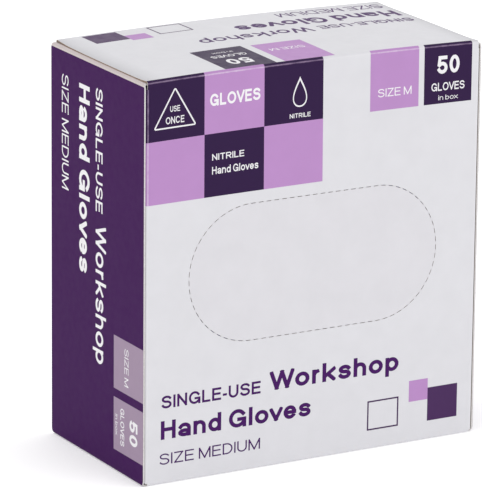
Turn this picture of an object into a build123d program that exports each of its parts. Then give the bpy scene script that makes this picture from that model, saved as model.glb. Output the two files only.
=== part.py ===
from build123d import *

import math
import os

# A straight-tuck paperboard carton of fifty folded gloves, in millimetres.
# +X runs along the front's width, the front faces -Y, and the carton stands on z = 0.
# The origin is the centre of the footprint.

# ---- driving dimensions ----
WIDTH = 120.0          # X, from one end closure's outer face to the other's
DEPTH = 62.0           # Y
HEIGHT = 129.0         # Z
BOARD = 0.5            # thickness of the folding boxboard
GAP = 0.05             # room between two panels that move past each other

SLOT_LENGTH = 89.0     # the perforated outline in the front, end to end
SLOT_HEIGHT = 44.0
SLOT_CENTRE_Z = 64.25
KERF = 0.2             # width of the perforating rule's cut
NICK_COUNT = 83        # uncut bridges round the outline
NICK_WIDTH = 0.8
NICK_ROOT = 0.3        # how far a bridge reaches back into the cover
NICK_CLEARANCE = 0.02

GLUE_FLAP_HEIGHT = 16.0
GLUE_FLAP_INSET = 3.0  # the glue flap's ends stop short of the sleeve's
GLUE_FLAP_TAPER = 4.0
GLUE_THICKNESS = 0.1
GLUE_MARGIN = 3.0      # bare board round the strip of glue

TUCK_LENGTH = 15.0
TUCK_SLOPE = 7.0       # degrees below the horizontal
TUCK_CORNER = 9.0
TOP_SETBACK = 1.2      # the top panel's raw end edge, back from the closure's outer face
CLOSURE_SIDE_GAP = 0.2  # the closure's side edges, in from the front and back faces
TUCK_SIDE_GAP = 0.8

DUST_LENGTH = 27.0
DUST_LOWER_GAP = 0.9   # lower end of the crease, above the carton's base
DUST_UPPER_END = 126.5
DUST_UPPER_FALL = 6.0  # how far the upper edge falls towards the free end
DUST_CORNER = 4.0

GLOVE_COUNT = 50
GLOVES_PER_NODE = 2
GLOVE_WIDTH = 100.0
GLOVE_LENGTH = 120.0   # a 240 mm glove, folded in half
GLOVE_THICKNESS = 0.25  # four layers of film, pressed flat
GLOVE_CORNER = 14.0
STACK_FRONT = -29.6    # front and back faces of the whole stack
STACK_BACK = 29.6

# ---- places worked out from them ----
CLOSURE_INNER = WIDTH / 2 - BOARD
SLEEVE_END = CLOSURE_INNER - GAP           # outer face of the dust flaps
PANEL_END = SLEEVE_END - BOARD - GAP       # raw ends of the front and back panels
TOP_END = WIDTH / 2 - TOP_SETBACK
TUCK_FOLD_Z = HEIGHT - BOARD - GAP
SLOPE = math.radians(TUCK_SLOPE)
CLOSURE_TOP = TUCK_FOLD_Z - BOARD / math.cos(SLOPE) - BOARD * math.tan(SLOPE) - GAP


def facing_front(y, z):
    """A plane whose normal is -Y and whose origin is on the carton's middle line."""
    return Plane(origin=(0, y, z), x_dir=(1, 0, 0), z_dir=(0, -1, 0))


SLOT_PLANE = facing_front(-DEPTH / 2 + BOARD, SLOT_CENTRE_Z)


def slab(x, y, z):
    """A box from three (low, high) pairs."""
    size = [high - low for low, high in (x, y, z)]
    centre = [(high + low) / 2 for low, high in (x, y, z)]
    return Pos(*centre) * Box(*size)


# ---- the sleeve: four panels and the seam ----
def front_panel():
    sheet = slab((-PANEL_END, PANEL_END), (-DEPTH / 2, -DEPTH / 2 + BOARD), (BOARD, HEIGHT - BOARD))
    slot = extrude(SLOT_PLANE * SlotOverall(SLOT_LENGTH, SLOT_HEIGHT), BOARD)
    return sheet - slot


def tear_out_cover():
    """The slot's plug: smaller by the cut all round, with a bridge at each nick."""
    outline = SlotOverall(SLOT_LENGTH - 2 * KERF, SLOT_HEIGHT - 2 * KERF)
    edge = outline.wire()
    reach = KERF - NICK_CLEARANCE
    nicks = []
    for i in range(NICK_COUNT):
        at = edge.position_at(i / NICK_COUNT)
        along = edge.tangent_at(i / NICK_COUNT)
        angle = math.degrees(math.atan2(along.Y, along.X))
        nicks.append(Pos(at.X, at.Y) * Rot(0, 0, angle) * Rectangle(NICK_WIDTH, 2 * NICK_ROOT))
    limit = SlotOverall(SLOT_LENGTH - 2 * KERF + 2 * reach, SLOT_HEIGHT - 2 * KERF + 2 * reach)
    return extrude(SLOT_PLANE * (outline + (Sketch() + nicks) & limit), BOARD)


def top_panel():
    return slab((-TOP_END, TOP_END), (-DEPTH / 2, DEPTH / 2), (HEIGHT - BOARD, HEIGHT))


def back_panel():
    return slab((-PANEL_END, PANEL_END), (DEPTH / 2 - BOARD, DEPTH / 2), (BOARD, HEIGHT - BOARD))


def bottom_panel():
    return slab((-SLEEVE_END, SLEEVE_END), (-DEPTH / 2, DEPTH / 2), (0, BOARD))


def glue_flap():
    """Folds up from the bottom panel's back edge and lies against the back panel's inside."""
    foot = PANEL_END - GLUE_FLAP_INSET
    head = foot - GLUE_FLAP_TAPER
    low, high = BOARD, BOARD + GLUE_FLAP_HEIGHT
    outline = Polygon((-foot, low), (foot, low), (head, high), (-head, high), align=None)
    back = DEPTH / 2 - BOARD - GLUE_THICKNESS
    return extrude(facing_front(back, 0) * outline, BOARD)


def seam_glue():
    half = PANEL_END - GLUE_FLAP_INSET - GLUE_FLAP_TAPER - GLUE_MARGIN
    back = DEPTH / 2 - BOARD
    z = (BOARD + GLUE_MARGIN, BOARD + GLUE_FLAP_HEIGHT - GLUE_MARGIN)
    return slab((-half, half), (back - GLUE_THICKNESS, back), z)


# ---- one end, made on the left and mirrored for the right ----
def closure():
    """Hinged at the bottom outer edge; it holds that corner of the crease."""
    half = DEPTH / 2 - CLOSURE_SIDE_GAP
    return slab((-WIDTH / 2, -CLOSURE_INNER), (-half, half), (0, CLOSURE_TOP))


def tuck():
    """Folds inwards from the closure's top edge and slopes down under the top panel."""
    half = DEPTH / 2 - TUCK_SIDE_GAP
    fold = Plane(
        origin=(-WIDTH / 2, 0, TUCK_FOLD_Z),
        x_dir=(math.cos(SLOPE), 0, -math.sin(SLOPE)),
        z_dir=(math.sin(SLOPE), 0, math.cos(SLOPE)),
    )
    outline = Pos(TUCK_LENGTH / 2, 0) * Rectangle(TUCK_LENGTH, 2 * half)
    outline = fillet(outline.vertices().sort_by(Axis.X)[-2:], TUCK_CORNER)
    inside = slab((-WIDTH / 2, 0), (-DEPTH / 2, DEPTH / 2), (0, HEIGHT))
    return extrude(fold * outline, -BOARD) & inside


def dust_flap():
    """The front one. It folds in from the front panel and lies behind the closure.
    Its lower edge rises at 45 degrees, so that it clears the closure as both swing out."""
    front = -DEPTH / 2
    free = front + DUST_LENGTH
    outline = Polygon(
        (front, DUST_LOWER_GAP),
        (free, DUST_LOWER_GAP + DUST_LENGTH),
        (free, DUST_UPPER_END - DUST_UPPER_FALL),
        (front, DUST_UPPER_END),
        align=None,
    )
    outline = fillet(outline.vertices().sort_by(Axis.X)[-2:], DUST_CORNER)
    return extrude(Plane.YZ.offset(-SLEEVE_END) * outline, BOARD)


# ---- contents ----
def glove(front):
    """One glove folded in half, as a plate with the volume of its film."""
    outline = RectangleRounded(GLOVE_WIDTH, GLOVE_LENGTH, GLOVE_CORNER)
    return extrude(facing_front(front, BOARD + GLOVE_LENGTH / 2) * outline, -GLOVE_THICKNESS)


def glove_group(index):
    pitch = (STACK_BACK - STACK_FRONT) / GLOVE_COUNT
    first = index * GLOVES_PER_NODE
    inset = (pitch - GLOVE_THICKNESS) / 2
    fronts = [STACK_FRONT + (first + i) * pitch + inset for i in range(GLOVES_PER_NODE)]
    return Compound(children=[glove(front) for front in fronts])


def main():
    parts = {
        "front_panel": front_panel(),
        "tear_out_cover": tear_out_cover(),
        "top_panel": top_panel(),
        "back_panel": back_panel(),
        "bottom_panel": bottom_panel(),
        "glue_flap": glue_flap(),
        "seam_glue": seam_glue(),
    }
    front_flap = dust_flap()
    left_end = {
        "closure": closure(),
        "tuck": tuck(),
        "front_dust_flap": front_flap,
        "back_dust_flap": mirror(front_flap, Plane.XZ),
    }
    for name, piece in left_end.items():
        parts["left_" + name] = piece
        parts["right_" + name] = mirror(piece, Plane.YZ)
    for i in range(GLOVE_COUNT // GLOVES_PER_NODE):
        parts[f"glove_pair_{i + 1:02d}"] = glove_group(i)

    os.makedirs("parts", exist_ok=True)
    for name, piece in parts.items():
        export_step(piece, f"parts/{name}.step")


main()
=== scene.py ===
import math

import bmesh
import bpy
import numpy as np
from mathutils import Matrix, Vector
from mathutils.geometry import delaunay_2d_cdt


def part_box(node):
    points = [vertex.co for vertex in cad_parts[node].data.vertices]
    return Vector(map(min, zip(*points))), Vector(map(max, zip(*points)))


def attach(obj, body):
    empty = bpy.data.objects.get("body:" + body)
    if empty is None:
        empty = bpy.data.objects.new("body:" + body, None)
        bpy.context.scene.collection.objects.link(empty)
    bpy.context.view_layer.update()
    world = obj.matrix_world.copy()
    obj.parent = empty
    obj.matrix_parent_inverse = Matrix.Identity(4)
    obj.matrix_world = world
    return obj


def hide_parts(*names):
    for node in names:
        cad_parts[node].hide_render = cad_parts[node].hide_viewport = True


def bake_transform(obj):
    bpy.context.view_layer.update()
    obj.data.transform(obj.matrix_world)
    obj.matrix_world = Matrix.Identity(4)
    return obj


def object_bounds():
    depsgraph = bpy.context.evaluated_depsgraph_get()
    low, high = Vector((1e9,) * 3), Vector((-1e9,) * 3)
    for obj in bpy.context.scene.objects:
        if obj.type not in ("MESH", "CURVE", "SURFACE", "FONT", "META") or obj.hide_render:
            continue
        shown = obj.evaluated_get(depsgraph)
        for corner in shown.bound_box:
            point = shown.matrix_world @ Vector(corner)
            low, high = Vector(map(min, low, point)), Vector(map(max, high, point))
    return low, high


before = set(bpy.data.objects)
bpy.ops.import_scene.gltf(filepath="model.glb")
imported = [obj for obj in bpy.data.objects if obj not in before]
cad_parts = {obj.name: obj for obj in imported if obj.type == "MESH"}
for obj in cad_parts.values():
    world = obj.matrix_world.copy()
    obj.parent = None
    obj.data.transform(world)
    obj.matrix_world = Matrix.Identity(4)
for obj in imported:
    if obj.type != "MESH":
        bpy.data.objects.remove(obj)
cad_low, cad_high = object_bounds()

# The carton is drawn in millimetres, and each mesh is scaled to metres as it is made.
MM = 0.001


def box_mm(node):
    low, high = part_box(node)
    return np.array(low) / MM, np.array(high) / MM


# ---- sizes, from the frame ----
HALF_W, HALF_D, TALL = (value / MM for value in cad_high)
DEPTH = 2 * HALF_D
front_low, front_high = box_mm("front_panel")
BOARD = front_high[1] - front_low[1]
TOP_END = box_mm("top_panel")[1][0]
tuck_low, tuck_high = box_mm("left_tuck")
TUCK_FOLD_Z = tuck_high[2]
TUCK_REACH = tuck_high[0] - tuck_low[0]
TUCK_HALF = tuck_high[1]
CLOSURE_HALF = box_mm("left_closure")[1][1]
dust_low, dust_high = box_mm("left_front_dust_flap")
DUST_OUTER = -dust_low[0]
DUST_LENGTH = dust_high[1] - dust_low[1]
DUST_FOOT, DUST_HEAD = dust_low[2], dust_high[2]
SEAM_END, SEAM_Y, SEAM_TOP = box_mm("glue_flap")[1]
strip_low, strip_high = box_mm("seam_glue")
cover_low, cover_high = box_mm("tear_out_cover")
GLOVE_NODES = sorted(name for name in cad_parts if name.startswith("glove_pair_"))

# ---- folding boxboard ----
FOLD_R = 0.9  # outer radius of a crease
ARC_STEPS = 10
PITCH = 4.0  # spacing of the mesh on flat stretches
CREASE_FLAT = 0.55  # flat board at each side of a crease strip
RUB_HIGHLIGHT_PLACE, RUB_HIGHLIGHT_WIDTH = 0.7, 0.9  # a fold's pale line, partly rubbed ink and partly painted highlight: how far before its middle, and its half width
STUB = 3.0  # a flap's path starts this far before its first crease
TUCK_SLOPE = math.radians(7)
TUCK_CORNER, DUST_CORNER = 9.0, 4.0
DUST_FALL = 6.0  # the dust flaps' upper edges fall towards their free ends
GLUE_TAPER = 4.0
SEAM_EDGE_Z = 0.35  # the back panel's raw lower edge
SETBACK_FRONT, SETBACK_BACK = 1.1, 1.8  # the top's raw ends, back from the closures
SETBACK_BOW = 0.15
TOP_RISE = 0.9  # how far the top bows up half way along its creases
TOP_CROWN = 0.25  # and how much further in its middle
FACE_BULGE = 0.45  # how far the front and back swell
PRESS_DEPTH = 0.35  # how far the top's raw ends are pressed down
PRESS_REACH = 4.5  # how far in from them that reaches
PRESS_FADE = 6.0  # and how near the top's creases it fades
U_LINES = np.linspace(-56, 56, 29)  # columns of the long boards' meshes
OUTER_COLUMN = 57.5  # one more column of the top's mesh, near its raw ends
STRETCH_FROM = 48.0  # where that mesh starts to be stretched to them
END_COLUMNS = np.linspace(-28, 28, 15)  # columns of the ends' meshes

# ---- the slot ----
SLOT_LENGTH, SLOT_HEIGHT = 89.0, 44.0
SLOT_Z = (cover_low[2] + cover_high[2]) / 2
KERF = 0.2
NICKS = 83
NICK = 1.1
NICK_CLEARANCE = 0.02

# ---- ink ----
COAT = 0.13  # specular level of the board's coating
INK = 0.02  # how far ink stands proud, so that it never lies in the board
HEADER_WAIST = TALL - 19.2  # where the front's printed header changes colour, and where it ends
HEADER_FOOT = TALL - 39.0
INK_STOP = 0.3  # how far past the left front fold that header's ink goes
# pale colours of the folds' lines: partly worn ink, and partly a painted highlight where each crease's curve
# catches the light
GREY_RUB_AND_HIGHLIGHT = (0.80, 0.79, 0.81)
PURPLE_RUB_AND_HIGHLIGHT = (0.40, 0.29, 0.43)
PRINT_RUB_AND_HIGHLIGHT = (0.80, 0.76, 0.80)


# ======== materials ========
def nodes_of(name):
    material = bpy.data.materials.new(name)
    material.use_nodes = True
    tree = material.node_tree
    return material, tree, tree.nodes["Principled BSDF"]


def fill(tree, node, values):
    """Sets each of those inputs to a constant, or links a socket to it."""
    for key, value in values.items():
        socket = node.inputs[key]
        if isinstance(value, bpy.types.NodeSocket):
            tree.links.new(value, socket)
        else:
            socket.default_value = (*value, 1) if socket.type == "RGBA" else value
    return node


def noise(tree, scale, detail=3.0, roughness=0.55, distortion=0.0, stretch=(1, 1, 1)):
    """Noise in the row frame, with scale in cycles a metre."""
    where = tree.nodes.new("ShaderNodeTexCoord").outputs["Object"]
    mapping = fill(tree, tree.nodes.new("ShaderNodeMapping"), {"Vector": where, "Scale": stretch})
    values = {"Scale": scale, "Detail": detail, "Roughness": roughness, "Distortion": distortion}
    made = fill(tree, tree.nodes.new("ShaderNodeTexNoise"), {"Vector": mapping.outputs["Vector"], **values})
    return made.outputs["Fac"]


def spread(tree, value, low, high, out_low, out_high):
    """value from low..high to out_low..out_high, clamped."""
    values = {"Value": value, "From Min": low, "From Max": high, "To Min": out_low, "To Max": out_high}
    return fill(tree, tree.nodes.new("ShaderNodeMapRange"), values).outputs["Result"]


def patchy(tree, out_low, out_high, *settings):
    """Noise of those settings, from out_low to out_high."""
    return spread(tree, noise(tree, *settings), 0.3, 0.7, out_low, out_high)


def arithmetic(tree, kind, a, b):
    node = tree.nodes.new("ShaderNodeMath")
    node.operation = kind
    return fill(tree, node, {0: a, 1: b}).outputs["Value"]


def mixed(tree, factor, a, b):
    """Colours a to b by factor. Each is a colour or a socket."""
    node = tree.nodes.new("ShaderNodeMix")
    node.data_type = "RGBA"
    return fill(tree, node, {0: factor, 6: a, 7: b}).outputs[2]


def stored(tree, attribute):
    """A number kept for each vertex by store()."""
    node = tree.nodes.new("ShaderNodeAttribute")
    node.attribute_name = attribute
    return node.outputs["Fac"]


def bumped(tree, shader, *layers):
    """layers are (height socket, metres of height), the coarse one first."""
    normal = {}
    for height, distance in layers:
        values = {"Height": height, "Distance": distance, "Strength": 1.0, **normal}
        normal = {"Normal": fill(tree, tree.nodes.new("ShaderNodeBump"), values).outputs["Normal"]}
    fill(tree, shader, normal)


def tinted(colour, factor):
    return tuple(channel * factor for channel in colour)


def coated(name, colour, rub_highlight_colour=GREY_RUB_AND_HIGHLIGHT, rub_highlight_amount=0.5, roughness=0.40, coat=COAT):
    """Coated, printed board: satin, faintly mottled, and pale in patches along its folds, partly rubbed ink
    and partly a painted highlight of each crease's curve. Near the top's raw ends its colour is darkened by
    painted shade, read from a number the top board keeps for each vertex.
    """
    material, tree, shader = nodes_of(name)
    base = mixed(tree, patchy(tree, 0, 1, 140, 4), tinted(colour, 0.98), tinted(colour, 1.015))
    # painted highlight mixed with wear: a pale colour along each fold, from its stored fold value and noise
    rub_highlight_mask = arithmetic(tree, "MULTIPLY", stored(tree, "fold"), patchy(tree, 0.65, 1, 500, 5, 0.7))
    rub_highlight_share = spread(tree, rub_highlight_mask, 0.45, 0.9, 0.0, rub_highlight_amount)
    # painted shade: the colour darkens to 0.8 of itself towards the top's pressed-down raw ends
    shaded_at_ends = mixed(tree, stored(tree, "painted_end_shade"), mixed(tree, rub_highlight_share, base, rub_highlight_colour), tinted(colour, 0.8))
    gloss = patchy(tree, roughness - 0.05, roughness + 0.07, 420, 3)
    worn_gloss = arithmetic(tree, "ADD", gloss, arithmetic(tree, "MULTIPLY", rub_highlight_share, 0.25))
    fill(tree, shader, {"Base Color": shaded_at_ends, "Roughness": worn_gloss, "Specular IOR Level": coat})
    bumped(tree, shader, (noise(tree, 45, 2), 0.00005), (noise(tree, 5200, 2), 0.000004))
    return material


def raw_board(name, colour, flecks):
    """The uncoated grey side of recycled board, with short fibres and dark and pale flecks."""
    material, tree, shader = nodes_of(name)
    fibres = noise(tree, 1500, 5, 0.65, 0.4, (0.25, 1, 1))
    cloudy = mixed(tree, spread(tree, fibres, 0.3, 0.7, 0, 1), tinted(colour, 0.82), tinted(colour, 1.16))
    dark = spread(tree, noise(tree, 2600, 2), 0.66, 0.72, 0.0, 0.75)
    pale = spread(tree, noise(tree, 1900, 1, stretch=(1, 1, 0.4)), 0.68, 0.75, 0.0, 0.6)
    speckled = mixed(tree, pale, mixed(tree, dark, cloudy, flecks), tinted(colour, 1.6))
    fill(tree, shader, {"Base Color": speckled, "Roughness": 0.9, "Specular IOR Level": 0.2})
    bumped(tree, shader, (noise(tree, 60, 2), 0.00012), (fibres, 0.00003))
    return material


def board_edge(name, dark, pale):
    """A cut or torn edge, its grain running from the grey-brown core to the pale liners."""
    material, tree, shader = nodes_of(name)
    grain = patchy(tree, 0, 1, 3200, 4)
    base = mixed(tree, grain, dark, pale)
    fill(tree, shader, {"Base Color": base, "Roughness": 0.95, "Specular IOR Level": 0.15})
    bumped(tree, shader, (grain, 0.00004))
    return material


def nitrile(name):
    """Indigo nitrile film: satin, a little uneven in colour, with wrinkles and a fine textured grip."""
    material, tree, shader = nodes_of(name)
    base = mixed(tree, patchy(tree, 0, 1, 60, 3), (0.085, 0.055, 0.46), (0.135, 0.095, 0.60))
    gloss = patchy(tree, 0.32, 0.46, 260, 3)
    fill(tree, shader, {"Base Color": base, "Roughness": gloss, "Specular IOR Level": 0.45})
    fill(tree, shader, {"Sheen Weight": 0.12, "Sheen Roughness": 0.4})
    ridge = arithmetic(tree, "SUBTRACT", noise(tree, 62, 1.2, 0.4, 0.9, (1, 1, 0.45)), 0.5)
    wrinkles = spread(tree, arithmetic(tree, "ABSOLUTE", ridge, 0.0), 0.0, 0.035, 1.0, 0.0)
    creases, grip = noise(tree, 130, 4, 0.6, 1.2), noise(tree, 2400, 2)
    bumped(tree, shader, (creases, 0.0009), (wrinkles, 0.0007), (grip, 0.00002))
    return material


def dried_glue(name):
    material, tree, shader = nodes_of(name)
    cloudy = mixed(tree, patchy(tree, 0, 1, 300, 3), (0.74, 0.68, 0.50), (0.86, 0.82, 0.68))
    fill(tree, shader, {"Base Color": cloudy, "Roughness": 0.35})
    bumped(tree, shader, (noise(tree, 500, 3), 0.0002))
    return material


# each material's second colour is the pale of its folds' line: partly rubbed ink, partly painted highlight
PAPER = coated("board_pale_grey", (0.665, 0.66, 0.69), rub_highlight_amount=0.35)
STRIP = coated("board_pinkish_fold", (0.56, 0.49, 0.485), (0.70, 0.66, 0.64))
INKS = {
    "dark": coated("ink_dark_violet", (0.024, 0.006, 0.048), (0.42, 0.30, 0.46), 0.75, 0.36),
    "lilac": coated("ink_lilac", (0.450, 0.245, 0.510), (0.72, 0.62, 0.74), 0.8),
    "purple": coated("ink_purple", (0.060, 0.021, 0.092), PURPLE_RUB_AND_HIGHLIGHT, 0.6, 0.36),
    "plum": coated("ink_plum", (0.042, 0.002, 0.074), PURPLE_RUB_AND_HIGHLIGHT, 0.6, coat=0.04),
    "mauve": coated("ink_mauve", (0.320, 0.235, 0.330), (0.62, 0.54, 0.62)),
    "text": coated("ink_lettering", (0.052, 0.004, 0.100), PRINT_RUB_AND_HIGHLIGHT),
    "white": coated("ink_white", (0.80, 0.79, 0.81), PRINT_RUB_AND_HIGHLIGHT),
    "line": coated("ink_outline", (0.060, 0.024, 0.085), PRINT_RUB_AND_HIGHLIGHT),
}
INSIDE = raw_board("board_inside", (0.44, 0.40, 0.355), (0.16, 0.13, 0.11))
EDGE = board_edge("board_edge", (0.44, 0.40, 0.37), (0.62, 0.59, 0.56))
END_EDGE = board_edge("board_edge_of_ends", (0.56, 0.535, 0.53), (0.72, 0.70, 0.705))
# the top's raw ends: grey-brown board, darker than the other edges partly as painted shade of the gap beside
# them
TOP_EDGE_AND_SHADE = board_edge("board_edge_top_and_shade", (0.22, 0.15, 0.11), (0.42, 0.33, 0.27))
FILM = nitrile("nitrile_indigo")
GLUE = dried_glue("seam_glue_dried")
COVER_PAPER = coated("board_pale_cover", (0.655, 0.645, 0.677), rub_highlight_amount=0.3)
BOARD_SLOTS = (PAPER, INSIDE, EDGE)
COVER_SLOTS = (COVER_PAPER, INSIDE, EDGE)
END_SLOTS = (STRIP, INSIDE, END_EDGE, INKS["plum"])
CREASE_SLOTS = (PAPER, INSIDE, EDGE, INKS["dark"], INKS["lilac"])


# ======== folded sheets ========
class Path:
    """A folded sheet's outer line in one plane. A place s on it is measured along the unfolded runs,
    and round each corner the line follows an arc. side is 1 where the outside is on the left."""

    def __init__(self, corners, side=1, radius=FOLD_R):
        self.corners = np.array(corners, float)
        self.radius = radius
        runs = np.diff(self.corners, axis=0)
        lengths = np.hypot(runs[:, 0], runs[:, 1])
        self.along = runs / lengths[:, None]
        self.at = np.concatenate([[0.0], np.cumsum(lengths)])
        self.normals = side * np.stack([-self.along[:, 1], self.along[:, 0]], axis=1)
        before, after = self.normals[:-1], self.normals[1:]
        cross = before[:, 0] * after[:, 1] - before[:, 1] * after[:, 0]
        self.turns = np.arctan2(cross, (before * after).sum(axis=1))
        self.tangents = radius * np.tan(np.abs(self.turns) / 2)

    def point(self, s, out):
        """The two coordinates of each place s, out millimetres outside the sheet's outer face."""
        s = np.asarray(s, float)
        run = np.clip(np.searchsorted(self.at, s, side="right") - 1, 0, len(self.along) - 1)
        where = self.corners[run] + self.along[run] * (s - self.at[run])[:, None]
        normal = self.normals[run]
        for k, (turn, tangent) in enumerate(zip(self.turns, self.tangents)):
            place = self.at[k + 1]
            inside = np.abs(s - place) < tangent
            angle = (s[inside] - place + tangent) / (2 * tangent) * turn
            first = self.normals[k]
            cos, sin = np.cos(angle), np.sin(angle)
            turned = np.stack([cos * first[0] - sin * first[1], sin * first[0] + cos * first[1]], axis=1)
            centre = self.corners[k + 1] - self.along[k] * tangent - first * self.radius
            where[inside] = centre + turned * self.radius
            normal[inside] = turned
        return (where + normal * np.asarray(out)[..., None]).T

    def fold(self, s):
        """1 on the line where each fold is rubbed and carries a painted highlight, just inside its starting
        side, and 0 a little away.
        """
        s = np.asarray(s, float)
        folds = zip(self.at[1:], self.tangents)
        near = [1 - np.abs(s - place + RUB_HIGHLIGHT_PLACE * t) / (RUB_HIGHLIGHT_WIDTH * t) for place, t in folds]
        return np.clip(np.max(near, axis=0), 0, 1)

    def lines(self, start, end):
        """Places from start to end: evenly spaced, and close together round the folds."""
        places = list(np.linspace(start, end, max(2, round((end - start) / PITCH) + 1)))
        for place, tangent in zip(self.at[1:], self.tangents):
            places = [p for p in places if abs(p - place) > tangent + 0.02 or p in (start, end)]
            arc = np.linspace(place - tangent, place + tangent, ARC_STEPS + 1)
            places += [p for p in arc if start < p < end]
        return np.array(sorted(set(places)))


SLEEVE = Path(
    [(SEAM_Y, SEAM_TOP), (SEAM_Y, 0), (-HALF_D, 0), (-HALF_D, TALL), (HALF_D, TALL), (HALF_D, SEAM_EDGE_Z)]
)
SEAM_FOLD, FRONT_FOOT, FRONT_TOP, BACK_TOP, BACK_FOOT = SLEEVE.at[1:]


def warped(x, y, z):
    """The gloves press the carton's long faces out, and its top bows up between its ends."""
    arch, level = 1 - (x / HALF_W) ** 2, np.clip(z / TALL, 0, 1)
    swell = FACE_BULGE * arch * np.sin(np.pi * level)
    rise = TOP_RISE * arch * level**2
    crown = TOP_CROWN * arch * (1 - (y / HALF_D) ** 2) * level**8
    return np.stack([x, y + swell * y / HALF_D, z + rise + crown], axis=1)


def sleeve_face(x, s, out):
    y, z = SLEEVE.point(s, out)
    return warped(np.asarray(x, float), y, z)


def closure_path():
    """Round the left end's lower crease, up the closure and in along the tuck."""
    along = np.array([math.cos(TUCK_SLOPE), -math.sin(TUCK_SLOPE)])
    fold = np.array([-HALF_W, TUCK_FOLD_Z])
    return Path([(STUB - HALF_W, 0), (-HALF_W, 0), fold, fold + along * TUCK_REACH / along[0]])


CLOSURE = closure_path()
CLOSURE_FOOT, CLOSURE_HEAD, TUCK_TIP = CLOSURE.at[1:]


def end_face(mirror):
    """The closure and tuck of the left end with mirror 1, and of the right one with -1. u is y."""

    def face(y, s, out):
        x, z = CLOSURE.point(s, out)
        return np.stack([mirror * x, np.asarray(y, float), z], axis=1)

    return face


DUST = Path([(STUB - DUST_OUTER, -HALF_D), (-DUST_OUTER, -HALF_D), (-DUST_OUTER, DUST_LENGTH - HALF_D)])
DUST_FOLD, DUST_TIP = DUST.at[1:]


def dust_face(mirror_x, mirror_y):
    """A dust flap and its crease. u is z."""

    def face(z, s, out):
        x, y = DUST.point(s, out)
        return warped(x, y, np.asarray(z, float)) * (mirror_x, mirror_y, 1.0)

    return face


# ======== meshes ========
def store(mesh, attribute, values):
    """Keeps a number for each vertex, which the materials read."""
    layer = mesh.attributes.new(attribute, "FLOAT", "POINT")
    layer.data.foreach_set("value", np.asarray(values, np.float32))


def piece(name, vertices, faces, materials, slots=None, fold=None, smooth=32):
    """An object from points in millimetres, its faces turned outwards."""
    mesh = bpy.data.meshes.new(name)
    mesh.from_pydata((np.asarray(vertices) * MM).tolist(), [], faces)
    for material in materials:
        mesh.materials.append(material)
    if slots is not None:
        mesh.polygons.foreach_set("material_index", np.asarray(slots, np.int32))
    if fold is not None:
        store(mesh, "fold", fold)
    shape = bmesh.new()
    shape.from_mesh(mesh)
    if shape.calc_volume(signed=True) < 0:
        bmesh.ops.reverse_faces(shape, faces=shape.faces)
    shape.to_mesh(mesh)
    shape.free()
    mesh.shade_smooth()
    mesh.set_sharp_from_angle(angle=math.radians(smooth))
    made = bpy.data.objects.new(name, mesh)
    bpy.context.scene.collection.objects.link(made)
    return made


def thickened(points, faces, face_at, outs, path):
    """Vertices, faces, slots and fold values of a sheet with that flat pattern and two offsets."""
    u, v = np.asarray(points, float).T
    count = len(u)
    vertices = np.vstack([face_at(u, v, outs[1]), face_at(u, v, outs[0])])
    used = dict.fromkeys(pair for face in faces for pair in zip(face, [*face[1:], face[0]]))
    rim = [(a, b) for a, b in used if (b, a) not in used]
    back = [tuple(i + count for i in reversed(face)) for face in faces]
    walls = [(b, a, a + count, b + count) for a, b in rim]
    slots = [0] * len(faces) + [1] * len(back) + [2] * len(walls)
    return vertices, [*faces, *back, *walls], slots, np.tile(path.fold(v), 2)


def grid(us, vs):
    """A flat pattern of quads on the lines us and vs."""
    points = [(u, v) for v in vs for u in us]
    n = len(us)
    corners = [j * n + i for j in range(len(vs) - 1) for i in range(n - 1)]
    return points, [(k, k + 1, k + n + 1, k + n) for k in corners]


def oblong(left, right, top, bottom):
    return [(left, top), (right, top), (right, bottom), (left, bottom)]


def is_inside(points, loops):
    """For each point, whether an odd number of loops goes round it."""
    x, y = np.asarray(points, float).T
    odd = np.zeros(len(x), bool)
    for loop in loops:
        ring = np.asarray(loop, float)
        for (ax, ay), (bx, by) in zip(ring, np.roll(ring, -1, axis=0)):
            if ay != by:
                odd ^= ((ay > y) != (by > y)) & (x < (bx - ax) * (y - ay) / (by - ay) + ax)
    return odd


def crossed(loop, us, vs):
    """The loop with a point wherever it crosses one of the lines us and vs."""
    ring = np.asarray(loop, float)
    made = []
    for a, b in zip(ring, np.roll(ring, -1, axis=0)):
        made.append(a)
        step = b - a
        shares = []
        for axis, lines in ((0, us), (1, vs)):
            shares += [(line - a[axis]) / step[axis] for line in lines if step[axis]]
        made += [a + step * t for t in sorted(shares) if 1e-4 < t < 1 - 1e-4]
    return np.array(made)


def triangulated(loops, inner, tolerance):
    """Points and triangles on the loops, as edges, and the inner points. Also each triangle's middle."""
    edges, start = [], 0
    for loop in loops:
        edges += [(start + i, start + (i + 1) % len(loop)) for i in range(len(loop))]
        start += len(loop)
    flat = [Vector(p) for p in np.vstack([*loops, inner])]
    found, _, faces, *_ = delaunay_2d_cdt(flat, edges, [], 0, tolerance)
    found = np.array([tuple(p) for p in found])
    middles = np.array([found[list(face)].mean(axis=0) for face in faces])
    return found, [tuple(face) for face in faces], middles


def cut(loops, us, vs, clear=0.08):
    """A flat pattern of triangles inside loops, with points on the lines us and vs too."""
    rims = [crossed(loop, us, vs) for loop in loops]
    inner = np.array([(u, v) for v in vs for u in us], float).reshape(-1, 2)
    inner = inner[is_inside(inner, rims)]
    rim_points = np.vstack(rims)
    gaps = np.array([np.hypot(*(rim_points - p).T).min() for p in inner])
    found, faces, middles = triangulated(rims, inner[gaps > clear], 1e-7)
    return found, [face for face, keep in zip(faces, is_inside(middles, rims)) if keep]


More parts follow.
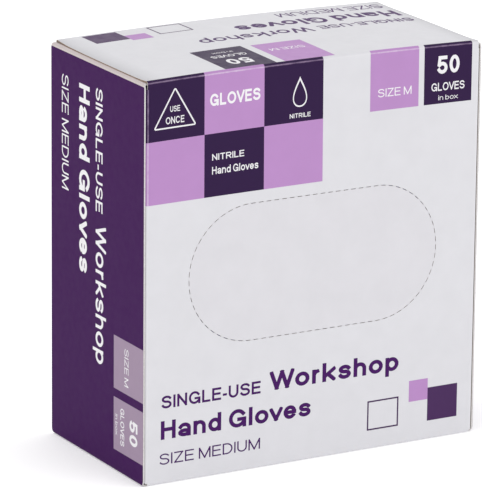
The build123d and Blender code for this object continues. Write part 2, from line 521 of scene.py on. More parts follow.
def sheet(name, pattern, body, node, face_at=sleeve_face, path=SLEEVE,
          materials=BOARD_SLOTS, outs=(-BOARD, 0.0)):
    """A piece of board with that flat pattern, which rides on a body and replaces a CAD node."""
    vertices, faces, slots, fold = thickened(*pattern, face_at, outs, path)
    made = piece(name, vertices, faces, materials, slots, fold)
    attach(made, body)
    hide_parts(node)
    return made


def crease_strip(name, pattern, face_at, path, materials, slot_at):
    """The board round a crease. slot_at(u, s) is the material slot of its outer side."""
    points, faces = pattern
    vertices, all_faces, slots, fold = thickened(points, faces, face_at, (-BOARD, 0.0), path)
    middles = [np.mean([points[i] for i in face], axis=0) for face in faces]
    slots[: len(faces)] = [slot_at(u, s) for u, s in middles]
    return piece(name, vertices, all_faces, materials, slots, fold)


def rounded(corners, radii, steps=8):
    """A loop through corners, each rounded by its own radius. A radius of 0 leaves a corner sharp."""
    ring = np.asarray(corners, float)
    loop = []
    for before, here, after, radius in zip(np.roll(ring, 1, axis=0), ring, np.roll(ring, -1, axis=0), radii):
        if not radius:
            loop.append(here)
            continue
        a = (before - here) / np.linalg.norm(before - here)
        b = (after - here) / np.linalg.norm(after - here)
        half = math.acos(np.clip(a @ b, -1, 1)) / 2
        middle = here + (a + b) / np.linalg.norm(a + b) * radius / math.sin(half)
        first, last = (here + way * radius / math.tan(half) - middle for way in (a, b))
        for t in np.linspace(0, 1, steps + 1):
            spoke = first * (1 - t) + last * t
            loop.append(middle + spoke / np.linalg.norm(spoke) * radius)
    return np.array(loop)


# ======== the carton's boards ========
SLOT_S = FRONT_FOOT + SLOT_Z
STRIP_HALF = FOLD_R + CREASE_FLAT  # from a crease's middle to a right-angled crease strip's edge
FACE_END = DUST_OUTER - STRIP_HALF  # where the front and back boards give way to the dust flaps' creases
BASE_END = HALF_W - STRIP_HALF  # where the bottom board gives way to the closures' creases


def slot_point(distance, inset):
    """A place that far along the slot's outline from its lower middle, moved in towards its centre."""
    straight, radius = SLOT_LENGTH - SLOT_HEIGHT, SLOT_HEIGHT / 2
    bend = math.pi * radius
    half, rest = divmod((distance + straight / 2) % (2 * (straight + bend)), straight + bend)
    if rest < straight:
        x, z = rest - straight / 2, inset - radius
    else:
        angle = (rest - straight) / radius - math.pi / 2
        x = straight / 2 + (radius - inset) * math.cos(angle)
        z = (radius - inset) * math.sin(angle)
    x, z = (x, z) if half == 0 else (-x, -z)
    return x, SLOT_S + z


def slot_loops():
    """The slot's outline in the front panel, and the cover's with a bridge at each nick."""
    period = (2 * (SLOT_LENGTH - SLOT_HEIGHT) + math.pi * SLOT_HEIGHT) / NICKS
    slot, cover = [], []
    for i in range(NICKS):
        start, end = i * period - NICK / 2, i * period + NICK / 2
        middle = (end + (i + 1) * period - NICK / 2) / 2
        slot += [slot_point(d, 0) for d in (start, end, middle)]
        bridge = ((start, KERF), (start, NICK_CLEARANCE), (end, NICK_CLEARANCE), (end, KERF), (middle, KERF))
        cover += [slot_point(*place) for place in bridge]
    return np.array(slot), np.array(cover)


def top_setback(s):
    """The top panel's raw ends lie further back towards the back of the carton, and bow a little."""
    t = np.clip((np.asarray(s, float) - FRONT_TOP) / DEPTH, 0, 1)
    return SETBACK_FRONT - SETBACK_BOW * np.sin(np.pi * t) + (SETBACK_BACK - SETBACK_FRONT) * t**6


def raw_end_ramp(vertices, reach=5.0):
    """1 at the top panel's raw ends, falling to 0 inside them: the ends are pressed down by it, and their
    colour is darkened by it as painted shade.
    """
    return np.clip(1 - (TOP_END - np.abs(vertices[:, 0])) / reach, 0, 1)


def face_outline(fold, away):
    """A long face's flat outline. fold is its top crease, and away is 1 where s runs down from it."""
    head, foot = fold + away * (TALL - DUST_HEAD), fold + away * (TALL - DUST_FOOT)
    end = fold + away * (TALL - (SEAM_EDGE_Z if away > 0 else 0))
    half_top = HALF_W - float(top_setback(fold))
    steps = [(half_top, fold), (half_top, head), (FACE_END, head), (FACE_END, foot)]
    steps += [(BASE_END, foot), (BASE_END, end)]
    return np.array(steps + [(-u, s) for u, s in reversed(steps)])


def make_front():
    slot, cover = slot_loops()
    lines = SLEEVE.lines(FRONT_FOOT, FRONT_TOP)
    sheet("front_board", cut([face_outline(FRONT_TOP, -1), slot], U_LINES, lines), "sleeve", "front_panel")
    pattern = cut([cover], U_LINES, lines)
    sheet("slot_cover_board", pattern, "tear_out_cover", "tear_out_cover", materials=COVER_SLOTS)


def make_top():
    """Its raw ends are pressed down a little, where they lie on the tucks, and their colour darkens towards
    them as painted shade.
    """
    us = [-TOP_END, -OUTER_COLUMN, *U_LINES, OUTER_COLUMN, TOP_END]
    points, faces = grid(us, SLEEVE.lines(FRONT_TOP, BACK_TOP))
    u, s = np.array(points).T
    stretch = np.clip((np.abs(u) - STRETCH_FROM) / (TOP_END - STRETCH_FROM), 0, 1)
    u = u + np.sign(u) * (HALF_W - top_setback(s) - TOP_END) * stretch

    def pressed(u, s, out):
        placed = sleeve_face(u, s, out)
        fade = np.clip(np.minimum(s - FRONT_TOP, BACK_TOP - s) / PRESS_FADE, 0, 1)
        placed[:, 2] -= PRESS_DEPTH * raw_end_ramp(placed, PRESS_REACH) ** 2 * fade
        return placed

    pattern = np.stack([u, s], axis=1), faces
    # the top's raw ends take the darker edge, which is partly painted shade
    materials = (PAPER, INSIDE, TOP_EDGE_AND_SHADE)
    board = sheet("top_board", pattern, "sleeve", "top_panel", face_at=pressed, materials=materials)
    # painted shade: a value for each vertex that darkens the top's colour towards its raw ends
    store(board.data, "painted_end_shade", raw_end_ramp(np.array([v.co for v in board.data.vertices]) / MM))


def make_back():
    pattern = cut([face_outline(BACK_TOP, 1)], U_LINES, SLEEVE.lines(BACK_TOP, BACK_FOOT))
    sheet("back_board", pattern, "sleeve", "back_panel")


def make_bottom():
    pattern = grid([-BASE_END, *U_LINES, BASE_END], SLEEVE.lines(SEAM_FOLD, FRONT_FOOT))
    sheet("bottom_board", pattern, "sleeve", "bottom_panel")


def make_seam():
    """The glue flap, folded up inside the back panel, and its strip of dried glue."""
    head = SEAM_END - GLUE_TAPER
    outline = [(-head, 0), (head, 0), (SEAM_END, SEAM_FOLD), (-SEAM_END, SEAM_FOLD)]
    pattern = cut([outline], U_LINES, SLEEVE.lines(0, SEAM_FOLD))
    sheet("glue_flap_board", pattern, "sleeve", "glue_flap")

    half, upper, lower = strip_high[0], SEAM_TOP - strip_high[2], SEAM_TOP - strip_low[2]
    us = np.linspace(-half, half, 90)
    ragged = 0.35 * np.sin(us * 1.7) + 0.25 * np.sin(us * 4.1 + 1)
    loop = np.vstack([np.stack([us, upper + ragged], 1), np.stack([us, lower - ragged], 1)[::-1]])
    outs = 0.0, strip_high[1] - strip_low[1]
    pattern = cut([loop], U_LINES, (6, 8, 10))
    sheet("seam_glue_strip", pattern, "sleeve", "seam_glue", materials=(GLUE,) * 3, outs=outs)


# ======== the two ends ========
HEAD_REACH = float(CLOSURE.tangents[1])  # from the middle of the tuck's crease to its arc's ends
HEAD_HALF = CREASE_FLAT + HEAD_REACH  # and to its strip's edges
CLOSURE_LOW = CLOSURE_FOOT + STRIP_HALF
CLOSURE_HIGH = CLOSURE_HEAD - HEAD_HALF
TUCK_START = CLOSURE_HEAD + HEAD_HALF
INK_TOP = CLOSURE_FOOT + 127.3  # the ends' dark ink stops just under the crease
FOOT_TAPER = 0.7  # how much narrower a lower crease is on the bottom's side


def end_strip(name, face_at, low, high, half, inked):
    """A crease strip across an end. half(s) is half its width, and inked(s) says where it is dark."""
    lines = sorted({*CLOSURE.lines(low, high), *[s for s in (INK_TOP,) if low < s < high]})
    points, faces = grid([-1, *END_COLUMNS / CLOSURE_HALF, 1], lines)
    points = [(u * half(s), s) for u, s in points]
    return crease_strip(name, (points, faces), face_at, CLOSURE, END_SLOTS, lambda u, s: 3 if inked(s) else 0)


def make_end(side, mirror):
    face_at, closure, tuck = end_face(mirror), f"{side}_closure", f"{side}_tuck"
    columns = [-CLOSURE_HALF, *END_COLUMNS, CLOSURE_HALF]
    pattern = grid(columns, CLOSURE.lines(CLOSURE_LOW, CLOSURE_HIGH))
    sheet(f"{side}_closure_board", pattern, closure, closure, face_at, CLOSURE, END_SLOTS[:3])

    low = CLOSURE_FOOT - STRIP_HALF
    foot = end_strip(
        f"{side}_bottom_crease", face_at, low, CLOSURE_LOW,
        lambda s: CLOSURE_HALF - FOOT_TAPER * float(np.clip((CLOSURE_LOW - s) / STRIP_HALF, 0, 1)),
        lambda s: s > CLOSURE_FOOT - FOLD_R,
    )
    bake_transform(foot)

    corners = oblong(-TUCK_HALF, TUCK_HALF, TUCK_START, TUCK_TIP)
    loop = rounded(corners, [0, 0, TUCK_CORNER, TUCK_CORNER])
    pattern = cut([loop], END_COLUMNS, np.linspace(TUCK_START, TUCK_TIP, 6))
    sheet(f"{side}_tuck_board", pattern, tuck, tuck, face_at, CLOSURE, END_SLOTS[:3])

    head = end_strip(
        f"{side}_tuck_crease", face_at, CLOSURE_HIGH, TUCK_START,
        lambda s: CLOSURE_HALF + (TUCK_HALF - CLOSURE_HALF) * (s - CLOSURE_HIGH) / (2 * HEAD_HALF),
        lambda s: s < INK_TOP,
    )
    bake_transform(head)


def dust_edges(s):
    """The flap's lower and upper edge at s. The lower rises at 45 degrees."""
    along = np.clip(np.asarray(s, float) - DUST_FOLD, 0, None)
    return DUST_FOOT + along, DUST_HEAD - along * DUST_FALL / DUST_LENGTH


def dust_ink(z, s):
    """The slot of the left front crease where the header's ink reaches it, and of bare board elsewhere."""
    if s > DUST_FOLD + INK_STOP or z <= HEADER_FOOT:
        return 0
    return 3 if z > HEADER_WAIST else 4


def make_dust_flap(side, end, mirror_x, mirror_y):
    face_at, flap = dust_face(mirror_x, mirror_y), f"{side}_{end}_dust_flap"
    flap_start = DUST_FOLD + STRIP_HALF
    header = [(z - DUST_FOOT) / (DUST_HEAD - DUST_FOOT) for z in (HEADER_WAIST, HEADER_FOOT)]
    heights = sorted([*np.linspace(0, 1, 30), *header])
    points, faces = grid(heights, DUST.lines(DUST_FOLD - STRIP_HALF, flap_start))
    share, s = np.array(points).T
    low, high = dust_edges(s)
    pattern = np.stack([low + share * (high - low), s], axis=1), faces
    slot_at = dust_ink if (side, end) == ("left", "front") else lambda z, s: 0
    strip = crease_strip(f"{side}_{end}_crease", pattern, face_at, DUST, CREASE_SLOTS, slot_at)
    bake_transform(strip)

    (low_near, low_far), (high_near, high_far) = dust_edges([flap_start, DUST_TIP])
    corners = [(low_near, flap_start), (low_far, DUST_TIP), (high_far, DUST_TIP), (high_near, flap_start)]
    loop = rounded(corners, [0, DUST_CORNER, DUST_CORNER, 0])
    pattern = cut([loop], np.linspace(4, 124, 31), np.linspace(flap_start, DUST_TIP, 8))
    sheet(f"{flap}_board", pattern, flap, flap, face_at=face_at, path=DUST)


# ======== printing ========
# ---- plain letters, drawn as strokes; sizes are in cap heights ----
X_HEIGHT = 0.74
DESCENT = 0.27
SPACE = 0.42
LIGHT, MEDIUM, BOLD = 0.115, 0.16, 0.20  # stroke widths


def arc(x, y, rx, ry, start, end):
    """Points on an ellipse from one angle to another, in degrees anticlockwise."""
    angles = np.radians(np.linspace(start, end, max(3, round(abs(end - start) / 16)) + 1))
    return [(x + rx * math.cos(a), y + ry * math.sin(a)) for a in angles]


def strokes(letter, width, weight):
    """The centre lines of a letter of that width."""
    k = weight / 2
    left, right, low, high, short = k, width - k, k, 1 - k, X_HEIGHT - k
    centre, rx = width / 2, width / 2 - k
    middle, waist = 0.5, X_HEIGHT / 2
    stem, tall, far = ([[(x, low), (x, top)]] for x, top in ((left, short), (left, high), (right, high)))
    post = [[(centre, low), (centre, high)]]
    bend = min(rx, 0.3)
    arch = [arc(centre, short - bend, rx, bend, 180, 0) + [(right, low)]]

    def bars(*heights):
        return [[(left, y), (right, y)] for y in heights]

    def oval(y, start, end):
        """Part of an O that is centred on y and stands on the baseline."""
        return arc(centre, y, rx, y - k, start, end)

    def round_o(y):
        return [oval(y, a, a + 180) for a in (0, 180)]

    def vee(top):
        return [[(left, top), (centre, low)], [(centre, low), (right, top)]]

    def snake(top, mid):
        """An S between the top and the baseline."""
        upper = arc(centre, (top + mid) / 2, rx * 0.94, (top - mid) / 2, 22, 270)
        return [upper + arc(centre, (mid + low) / 2, rx, (mid - low) / 2, 90, -158)[1:]]

    def right_bowl(top, bottom):
        """A D's curve from the top of the stem round to the bottom."""
        radius = (top - bottom) / 2
        turn = min(radius, right - left)
        return [[(left, top)] + arc(right - turn, bottom + radius, turn, radius, 90, -90) + [(left, bottom)]]

    shapes = {
        "D": tall + right_bowl(high, low),
        "E": tall + bars(high) + [[(left, 0.52), (right - 0.05, 0.52)]] + bars(low),
        "C": [oval(middle, 42, 318)],
        "G": [oval(middle, 36, 318), [(centre + 0.08, 0.44), (right, 0.44)], [(right, 0.44), (right, low)]],
        "H": tall + far + bars(0.53),
        "I": post,
        "L": tall + bars(low),
        "M": tall + far + vee(high),
        "N": tall + far + [[(left, high), (right, low)]],
        "O": round_o(middle),
        "0": round_o(middle),
        "R": tall + right_bowl(high, 0.47) + [[(centre, 0.47), (right, low)]],
        "S": snake(high, 0.53),
        "T": bars(high) + post,
        "U": [[(left, high)] + arc(centre, low + 0.32, rx, 0.32, 180, 360) + [(right, high)]],
        "V": vee(high),
        "W": [[(left + rx * i / 2, (high, low)[i % 2]), (left + rx * (i + 1) / 2, (low, high)[i % 2])]
              for i in range(4)],
        "Z": bars(high) + [[(right, high), (left, low)]] + bars(low),
        "5": [[(right - 0.02, high), (left + 0.08, high)], [(left + 0.08, high), (left + 0.03, 0.53)],
              oval(0.335, 140, -152)],
        "-": bars(0.36),
        "a": [arc(centre, short - 0.2, rx, 0.2, 155, 0) + [(right, low)]] + round_o(0.215),
        "b": round_o(waist) + tall,
        "d": round_o(waist) + far,
        "e": [oval(waist, 0, 318)] + bars(waist),
        "h": tall + arch,
        "i": [[(centre, low), (centre, short)], [(centre, high - 0.01), (centre, high)]],
        "k": tall + [[(right, short), (left, 0.27)], [(centre - 0.06, 0.40), (right, low)]],
        "l": post,
        "n": stem + arch,
        "o": round_o(waist),
        "p": round_o(waist) + [[(left, k - DESCENT), (left, short)]],
        "r": stem + [arc(right, short - 0.24, right - left, 0.24, 180, 96)],
        "s": snake(short, 0.385),
        "v": vee(short),
        "x": [[(left, short), (right, low)], [(left, low), (right, short)]],
    }
    return shapes[letter]


# each letter's own width; an I, i or l is as wide as its stroke
LETTER_WIDTHS = {
    "C": 0.90, "D": 0.83, "E": 0.74, "G": 0.95, "H": 0.80, "L": 0.68, "M": 0.98, "N": 0.81, "O": 0.97,
    "R": 0.84, "S": 0.82, "T": 0.78, "U": 0.81, "V": 0.90, "W": 1.28, "Z": 0.76, "0": 0.68, "5": 0.70,
    "-": 0.34, "a": 0.68, "b": 0.70, "d": 0.70, "e": 0.70, "h": 0.67, "k": 0.70, "n": 0.67, "o": 0.74,
    "p": 0.70, "r": 0.40, "s": 0.66, "v": 0.74, "x": 0.74,
}
SLANTED = "VWvx"
SLANTED_GAP, LETTER_GAP = 0.05, 0.14


def thick_line(points, weight):
    """The outline of a stroke with square ends."""
    line = np.asarray(points, float)
    steps = np.diff(line, axis=0)
    steps /= np.hypot(*steps.T)[:, None]
    line[0] -= steps[0] * weight / 2
    line[-1] += steps[-1] * weight / 2
    ahead = np.vstack([steps[:1], steps[:-1] + steps[1:], steps[-1:]])
    ahead /= np.hypot(*ahead.T)[:, None]
    shares = np.concatenate([[1], (ahead[1:-1] * steps[1:]).sum(axis=1), [1]])
    side = np.stack([-ahead[:, 1], ahead[:, 0]], axis=1) * (weight / 2 / shares)[:, None]
    return np.vstack([line + side, (line - side)[::-1]])


def drawn_letter(letter, weight):
    """Triangles of one letter: its strokes joined, and cut off at its own height. Also its width."""
    width = LETTER_WIDTHS.get(letter, weight)
    outlines = [thick_line(line, weight) for line in strokes(letter, width, weight)]
    top = X_HEIGHT if letter in "aenoprsvx" else 1.0
    bottom = -DESCENT if letter == "p" else 0.0
    limit = oblong(0, width, bottom, top)
    found, faces, middles = triangulated([*outlines, limit], np.empty((0, 2)), 1e-6)
    inked = np.any([is_inside(middles, [loop]) for loop in outlines], axis=0) & is_inside(middles, [limit])
    kept = [face for face, keep in zip(faces, inked) if keep]
    used = sorted({i for face in kept for i in face})
    place = {old: new for new, old in enumerate(used)}
    return found[used], [tuple(place[i] for i in face) for face in kept], width


def joined(parts):
    """One list of points and one of faces, from several (points, faces)."""
    starts = np.cumsum([0, *[len(points) for points, _ in parts]])
    faces = [tuple(i + int(start) for i in face) for start, part in zip(starts, parts) for face in part[1]]
    return np.vstack([points for points, _ in parts]), faces


def lettering(text, weight):
    """The words filled with triangles, one cap height tall, from x 0 and on the baseline y 0."""
    parts, x = [], 0.0
    for before, letter in zip(" " + text, text):
        if letter == " ":
            x += SPACE
            continue
        if before != " ":
            x += SLANTED_GAP if letter in SLANTED or before in SLANTED else LETTER_GAP
        points, faces, width = drawn_letter(letter, weight)
        parts.append((points + (x, 0), faces))
        x += width
    return joined(parts)


def teardrop(steps=48):
    """A drop one unit high, with its tip at the top and its middle on x 0."""
    t = np.linspace(0, 2 * np.pi, steps, endpoint=False)
    return np.stack([0.42 * np.sin(t) * np.sin(t / 2) ** 1.4, 0.5 + 0.5 * np.cos(t)], axis=1)


def ring(loop, width):
    """The loop, whose inside is on its left, and a copy of it moved inwards by width."""
    ahead = np.roll(loop, -1, axis=0) - np.roll(loop, 1, axis=0)
    ahead /= np.hypot(*ahead.T)[:, None]
    return [loop, loop + np.stack([-ahead[:, 1], ahead[:, 0]], axis=1) * width]


class Print:
    """The printing on one face. Its own axes run across and down, in millimetres, from the upper left
    corner as the face's viewer sees it. Each layer is printed over the one before."""

    def __init__(self, side, origin, lines, across=(1, 0), down=(0, -1), columns=U_LINES,
                 face_at=sleeve_face, path=SLEEVE):
        self.side, self.face_at, self.path = side, face_at, path
        self.origin, self.across, self.down = (np.array(v, float) for v in (origin, across, down))
        self.columns, self.lines = columns, lines
        self.patterns = {}

    def place(self, points):
        points = np.asarray(points, float)
        return self.origin + points[:, :1] * self.across + points[:, 1:] * self.down

    def add(self, ink, points, faces, layer):
        a, b, c = (points[[face[k] for face in faces]] for k in range(3))
        area = (b - a)[:, 0] * (c - a)[:, 1] - (b - a)[:, 1] * (c - a)[:, 0]
        turned = [face if size > 0 else face[::-1] for face, size in zip(faces, area)]
        self.patterns.setdefault((ink, layer), []).append((points, turned))

    def shape(self, ink, loops, layer=0):
        points, faces = cut([self.place(loop) for loop in loops], self.columns, self.lines)
        self.add(ink, points, faces, layer)

    def block(self, ink, left, right, top, bottom, layer=0):
        self.shape(ink, [oblong(left, right, top, bottom)], layer)

    def frame(self, ink, left, right, top, bottom, w=0.5):
        inner = oblong(left + w, right - w, top + w, bottom - w)
        self.shape(ink, [oblong(left, right, top, bottom), inner])

    def words(self, ink, *rows, turn=0, layer=0):
        """Each row is words, the box they fill and their weight. turn is 0, 90 or 180 degrees clockwise."""
        for text, left, right, top, bottom, weight in rows:
            points, faces = lettering(text, weight)
            x, y = points.T
            x = (x - x.min()) / (x.max() - x.min())
            width, height = right - left, bottom - top
            flat = {
                0: (left + x * width, bottom - y * height),
                90: (left + y * width, top + x * height),
                180: (right - x * width, top + y * height),
            }[turn]
            self.add(ink, self.place(np.stack(flat, axis=1)), faces, layer)

    def make(self, body="sleeve", slot="printed_board"):
        """Each ink and layer becomes one thin film on the board."""
        for (ink, layer), patterns in self.patterns.items():
            outs = INK * (layer - 1), INK * (1 + 0.75 * layer)
            vertices, faces, _, fold = thickened(*joined(patterns), self.face_at, outs, self.path)
            name = f"{self.side}_print_{ink}" + ("_over" if layer else "")
            film = piece(name, vertices, faces, [INKS[ink]], None, fold)
            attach(film, body)


def print_front():
    """Headers along the top that turn over its crease, three lines of words and a colour mark."""
    page = Print("front", (-HALF_W, FRONT_TOP), SLEEVE.lines(FRONT_FOOT, BACK_TOP))
    wrap = -FOLD_R
    columns = (HALF_W - FACE_END, 20.7, 41.6, 62.5)
    rows = (TALL - DUST_HEAD, TALL - HEADER_WAIST, TALL - HEADER_FOOT)
    for row in range(2):
        for column in range(3):
            ink = ("dark", "lilac")[(row + column) % 2]
            page.block(ink, columns[column], columns[column + 1], rows[row], rows[row + 1])
    for column in range(3):
        left = columns[column] if column else float(top_setback(FRONT_TOP))
        page.block(("dark", "lilac")[column % 2], left, columns[column + 1], wrap, rows[0])
    page.block("lilac", 79.4, 97.0, wrap, 19.0)
    page.block("dark", 99.0, 116.5, wrap, 19.0)

    page.words(
        "white",
        ("GLOVES", 22.6, 40.2, 6.8, 10.6, BOLD),
        ("NITRILE", 23.4, 34.6, 25.6, 27.6, MEDIUM),
        ("Hand Gloves", 23.4, 39.6, 29.6, 32.0, MEDIUM),
        ("USE", 8.8, 12.2, 8.7, 10.5, MEDIUM),
        ("ONCE", 7.3, 13.7, 12.0, 14.2, MEDIUM),
        ("NITRILE", 50.6, 58.0, 16.5, 17.9, MEDIUM),
        ("SIZE M", 82.2, 94.4, 12.2, 14.8, LIGHT),
        ("50", 103.7, 111.9, 3.8, 9.5, BOLD),
        ("GLOVES", 101.7, 113.9, 12.3, 14.9, MEDIUM),
        ("in box", 104.3, 111.5, 16.3, 17.9, LIGHT),
        layer=1,
    )
    page.shape("white", ring(rounded([(10.5, 2.8), (18.0, 15.6), (3.0, 15.6)], [0.5] * 3), 0.45), layer=1)
    drop = [teardrop() * (8.4, -9.6) + (54.2, 14.6), teardrop() * (7.2, -8.0) + (54.2, 14.15)]
    page.shape("white", drop, layer=1)

    page.words(
        "text",
        ("SINGLE-USE", 6.3, 41.3, 100.4, 104.5, 0.175),
        ("Workshop", 44.5, 91.5, 98.0, 104.2, BOLD),
        ("Hand Gloves", 6.1, 59.5, 108.5, 114.5, BOLD),
        ("SIZE MEDIUM", 5.7, 41.4, 119.1, 122.7, LIGHT),
    )
    page.frame("line", 80.3, 91.8, 113.0, 122.8)
    page.block("lilac", 95.6, 102.6, 108.5, 115.5)
    page.block("purple", 102.6, 113.7, 111.7, 122.8)
    page.make()


def print_top():
    """The front's design turned half round, seen with the back edge at the top."""
    page = Print("top", (-HALF_W, BACK_TOP), SLEEVE.lines(FRONT_TOP, BACK_TOP))
    page.words(
        "text",
        ("SIZE MEDIUM", 77.5, 116.0, 4.5, 9.5, LIGHT),
        ("Hand Gloves", 57.0, 115.5, 14.0, 21.5, BOLD),
        ("SINGLE-USE", 81.0, 115.5, 25.4, 29.6, MEDIUM),
        ("Workshop", 38.2, 78.0, 25.0, 31.0, MEDIUM),
        turn=180,
    )
    page.frame("line", 32.5, 44.5, 2.0, 11.8)
    page.block("purple", 9.7, 21.5, 2.0, 12.5)
    page.block("lilac", 21.5, 28.9, 8.0, 14.5)
    page.block("dark", 28.5, 46.4, 38.0, DEPTH - FOLD_R)
    page.block("lilac", 49.5, 67.1, 39.0, DEPTH - FOLD_R)
    page.words(
        "white",
        ("50", 33.2, 41.6, 51.0, 57.0, BOLD),
        ("GLOVES", 31.4, 43.6, 45.6, 48.2, MEDIUM),
        ("in box", 34.0, 41.0, 42.0, 43.6, LIGHT),
        ("SIZE M", 52.2, 64.4, 45.6, 48.2, LIGHT),
        turn=180,
        layer=1,
    )
    page.make()


def print_end(side, mirror):
    """Dark ink all over, with the words running downwards."""
    top, lines = CLOSURE_FOOT + TALL, CLOSURE.lines(CLOSURE_LOW, CLOSURE_HIGH)
    origin, across = (mirror * HALF_D, top), (-mirror, 0)
    page = Print(side, origin, lines, across, (0, -1), END_COLUMNS, end_face(mirror), CLOSURE)
    edge = HALF_D - CLOSURE_HALF
    page.block("plum", edge, DEPTH - edge, top - CLOSURE_HIGH, top - CLOSURE_LOW)
    page.words(
        "white",
        ("SIZE MEDIUM", 7.5, 12.0, 9.0, 46.0, LIGHT),
        ("Hand Gloves", 19.2, 26.2, 9.5, 70.0, BOLD),
        ("SINGLE-USE", 30.3, 34.8, 8.5, 48.0, MEDIUM),
        ("Workshop", 30.3, 37.2, 52.0, 97.0, MEDIUM),
        turn=90,
        layer=1,
    )
    page.block("mauve", 42.5, DEPTH - edge, 104.8, 122.0, layer=1)
    page.block("mauve", 42.5, DEPTH - edge, 84.8, 102.0, layer=1)
    page.words(
        "white",
        ("50", 53.0, 58.2, 109.4, 117.6, BOLD),
        ("GLOVES", 47.0, 49.5, 107.4, 119.6, MEDIUM),
        ("in box", 43.7, 45.2, 110.2, 117.0, LIGHT),
        ("SIZE M", 49.6, 52.2, 87.4, 99.6, LIGHT),
        turn=90,
        layer=2,
    )
    page.make(f"{side}_closure", "end_board")


def print_back():
    """Plain words and a short size row, in the same inks."""
    page = Print("back", (HALF_W, BACK_TOP), SLEEVE.lines(BACK_TOP, BACK_FOOT), (-1, 0), (0, 1))
    page.words(
        "text",
        ("SINGLE-USE", 6.3, 41.3, 12.4, 16.5, MEDIUM),
        ("Workshop", 44.5, 91.5, 10.0, 16.2, MEDIUM),
        ("Hand Gloves", 6.1, 59.5, 20.5, 26.5, BOLD),
    )
    margin = 6.2
    for row, width in enumerate((98, 104, 92, 100, 61)):
        top = 37.0 + 5.2 * row
        page.block("line", margin, margin + 0.9, top, top + 0.9)
        page.block("line", 9.0, 9.0 + width, top + 0.2, top + 0.7)
    for k, size in enumerate("SML"):
        left = margin + 21.0 * k
        page.block("purple" if size == "M" else "lilac", left, left + 17.6, 72.0, 89.0)
        page.words("white", (size, left + 6.0, left + 11.6, 77.2, 83.8, BOLD), layer=1)
    page.block("lilac", 95.6, 102.6, 108.5, 115.5)
    page.block("purple", 102.6, 113.7, 111.7, 122.8)
    page.make()


def print_bottom():
    """Seen from below, with the front edge at the top."""
    page = Print("bottom", (-HALF_W, FRONT_FOOT), SLEEVE.lines(SEAM_FOLD, FRONT_FOOT))
    rows = ("Hand Gloves", 33.0, 87.0, 26.0, 32.0, BOLD), ("SIZE MEDIUM", 42.0, 78.0, 38.0, 41.6, LIGHT)
    page.words("text", *rows)
    page.make()


# ======== the gloves ========
GLOVE_LENGTH = 240.0  # flat, before it is folded in half
GLOVES_A_NODE = 2
STACK_LOW, STACK_HIGH = box_mm(GLOVE_NODES[0])[0], box_mm(GLOVE_NODES[-1])[1]
GLOVE_PITCH = (STACK_HIGH[1] - STACK_LOW[1]) / (GLOVES_A_NODE * len(GLOVE_NODES))
APART = GLOVE_PITCH * 0.47  # from one half of a folded glove to the other
CREASE_MEAN = 0.42  # the creases' usual height, by which the stack is moved back
FILM_HALF = 0.13  # half of two layers of film pressed together
rng = np.random.default_rng(7)
CREASE_ANGLES = rng.uniform(0, math.pi, 9)
CREASE_WAVES = rng.uniform(0.035, 0.16, 9)
CREASE_PHASES = rng.uniform(0, 2 * math.pi, 9)
CREASE_DRIFTS = rng.uniform(-0.07, 0.07, 9)
# the least and most of a glove's shift in x and z, its sway's frequency and phase, and its tilt
LEAST, MOST = (-1.6, -0.3, 0.03, 0, -0.06), (1.6, 1.2, 0.07, 6, 0.06)


def glove_outline():
    """A flat glove, cuff down: a cuff, a palm, four fingers and a thumb."""
    finger, gap = 19.4, 1.6
    left, root = -29.0, 158.0
    points, radii = [(-43, 0), (43, 0), (46, 70)], [2, 2, 40]
    for k, tip in ((3, 214.0), (2, 235.0), (1, GLOVE_LENGTH), (0, 222.0)):
        near = left + k * (finger + 0.2)
        far = near + finger - gap
        points += [(far + 0.8, root - 6 * (k == 3)), (far + 0.2, tip), (near + 1.2, tip)]
        radii += [0.3 if k < 3 else 30, 7.4, 7.4]
        if k:
            points += [(near + 0.2, root)]
            radii += [0.3]
    points += [(left, 150), (-36, 176), (-47, 182), (-50, 140), (-46, 70)]
    return rounded(points, [*radii, 3, 4.5, 4.5, 30, 40])


def glove_lines(pitch):
    """Rows across a flat glove: close at the cuff's bead and round the fold."""
    middle = GLOVE_LENGTH / 2
    rows = [v for v in np.arange(3, GLOVE_LENGTH, pitch) if abs(v - middle) > 1]
    return np.array(sorted([0.5, 1.0, 1.8, *rows, *middle + np.linspace(-0.6, 0.6, 9)]))


def rumpled(x, y, z, gathers):
    """How far the film stands towards the front: crossing creases that neighbouring gloves nearly share.
    gathers adds the small, sharp wrinkles of a loose glove."""
    height = np.zeros(len(x))
    for angle, wave, start, drift in zip(CREASE_ANGLES, CREASE_WAVES, CREASE_PHASES, CREASE_DRIFTS):
        along = x * math.cos(angle) + z * math.sin(angle)
        across = z * math.cos(angle) - x * math.sin(angle)
        bend = 0.9 * np.sin(0.045 * across + start)
        phase = wave * along + bend + start + drift * y
        height += (0.0145 + 0.004 * gathers) / wave * (1 - np.abs(np.sin(phase))) ** 2.5
        if gathers:
            fine = 2.7 * wave * along + 2.2 * bend + 1.3 * np.sin(0.11 * across + 2 * start) + 3 * start
            fade = 0.5 + 0.5 * np.sin(0.06 * across + 0.05 * along + 5 * start)
            height += gathers * 0.020 / wave * fade**2 * (1 - np.abs(np.sin(fine))) ** 4
    return height


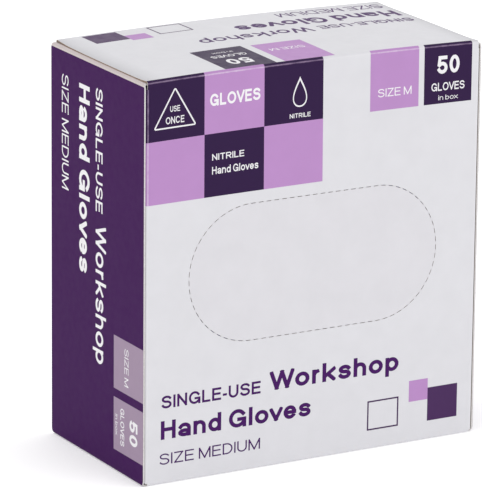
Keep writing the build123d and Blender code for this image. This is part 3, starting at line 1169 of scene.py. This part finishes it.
def glove_face(middle, flipped, offsets, gathers):
    """A folded glove at that y. It is folded over at the top, or at the bottom when flipped."""
    low, high = STACK_LOW[2], STACK_LOW[2] + (GLOVE_LENGTH - APART) / 2
    back, front = middle + APART / 2, middle - APART / 2
    path = Path([(back, low), (back, high), (front, high), (front, low)], side=-1, radius=APART / 2.3)
    shift_x, shift_z, wave, lean, tilt = offsets

    def face(u, v, out):
        bead = 1 + 1.1 * np.exp(-((np.asarray(v) / 0.9) ** 2))
        y, z = path.point(v, np.asarray(out) * bead)
        x = np.asarray(u, float) * (-1 if flipped else 1)
        sway = 2.0 * np.sin(z * wave + lean) + 0.9 * np.sin(z * wave * 2.7 + x * 0.05 + 2 * lean)
        x = x + shift_x + sway + tilt * (z - high / 2) * (1 - np.abs(x) / HALF_W)
        z = z + shift_z + 0.9 * np.sin(x * wave * 1.7 + lean)
        z = np.clip((STACK_LOW[2] + high + 1) - z if flipped else z, 0.65, None)
        return warped(x, y - rumpled(x, middle, z, gathers) + CREASE_MEAN, z)

    return face, path


def make_gloves():
    """The first three nodes show through the slot, so they are finer and more wrinkled."""
    outline = glove_outline()
    finest, fine, coarse = (
        cut([outline], np.arange(-48, 49, pitch), glove_lines(pitch), 0.25) for pitch in (1.3, 2.3, 3.6)
    )
    looks = [(finest, 1.0), (fine, 0.6), (fine, 0.3)] + [(coarse, 0.0)] * (len(GLOVE_NODES) - 3)
    for index, (node, (pattern, gathers)) in enumerate(zip(GLOVE_NODES, looks)):
        low, high = box_mm(node)
        parts = []
        for k in range(GLOVES_A_NODE):
            at = (low[1] + high[1]) / 2 + (k - (GLOVES_A_NODE - 1) / 2) * GLOVE_PITCH
            face_at, path = glove_face(at, (index + k) % 2 == 1, rng.uniform(LEAST, MOST), gathers)
            parts.append(thickened(*pattern, face_at, (-FILM_HALF, FILM_HALF), path)[:2])
        pair = piece(node.replace("glove_pair", "gloves"), *joined(parts), [FILM], smooth=70)
        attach(pair, "sleeve")
        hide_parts(node)


# ======== studio ========
FLOOR_HALF = 8.0  # metres
FLOOR_GLOW = 0.24
CAMERA_TURNS = (29.46, 15.95, 0.55)  # azimuth, elevation and roll, in degrees
CAMERA_PLACE = (-0.718, -1.256, 0.474)
LENS = 341.6


def placed(name, data):
    made = bpy.data.objects.new(name, data)
    bpy.context.scene.collection.objects.link(made)
    return made


def make_studio():
    """A pale floor and soft light from all round, with a large lamp above on the right."""
    mesh = bpy.data.meshes.new("floor")
    corners = oblong(-FLOOR_HALF, FLOOR_HALF, -FLOOR_HALF, FLOOR_HALF)
    mesh.from_pydata([(x, y, 0) for x, y in corners], [], [(0, 1, 2, 3)])
    material, tree, shader = nodes_of("floor_white")
    fill(tree, shader, {"Base Color": (0.97, 0.97, 0.97), "Roughness": 0.9, "Specular IOR Level": 0.1})
    fill(tree, shader, {"Emission Color": (1, 1, 1), "Emission Strength": FLOOR_GLOW})
    mesh.materials.append(material)
    floor = placed("floor", mesh)
    floor.location.z = -0.0001

    world = bpy.data.worlds.new("studio")
    world.use_nodes = True
    fill(world.node_tree, world.node_tree.nodes["Background"], {"Color": (1, 1, 1), "Strength": 0.92})
    bpy.context.scene.world = world

    for name, place, size, power in (
        ("key", (1.0, -0.9, 1.5), 1.6, 5.0),
        ("overhead", (-0.3, 0.5, 1.9), 1.8, 4.0),
    ):
        lamp = bpy.data.lights.new(name, "AREA")
        lamp.shape, lamp.size, lamp.energy = "DISK", size, power
        holder = placed(name, lamp)
        holder.location = place
        aim = Vector((0, 0, TALL * MM / 2)) - Vector(place)
        holder.rotation_euler = aim.to_track_quat("-Z", "Y").to_euler()


def make_camera():
    """From above and the front left, as in the photograph."""
    azimuth, elevation, roll = (math.radians(turn) for turn in CAMERA_TURNS)
    level = math.cos(elevation)
    ahead = Vector((math.sin(azimuth) * level, math.cos(azimuth) * level, -math.sin(elevation)))
    flat = ahead.cross(Vector((0, 0, 1))).normalized()
    right = flat * math.cos(roll) + flat.cross(ahead) * math.sin(roll)
    camera = bpy.data.cameras.new("camera")
    camera.lens = LENS
    holder = placed("camera", camera)
    turn = Matrix((right, right.cross(ahead), -ahead)).transposed().to_4x4()
    holder.matrix_world = Matrix.Translation(CAMERA_PLACE) @ turn
    bpy.context.scene.camera = holder


def main():
    boards = make_front, make_top, make_back, make_bottom, make_seam
    for make in (*boards, print_front, print_top, print_back, print_bottom):
        make()
    for side, mirror in (("left", 1), ("right", -1)):
        make_end(side, mirror)
        print_end(side, mirror)
        make_dust_flap(side, "front", mirror, 1)
        make_dust_flap(side, "back", mirror, -1)
    make_gloves()
    make_studio()
    make_camera()
    bpy.context.scene.view_settings.view_transform = "Standard"


main()
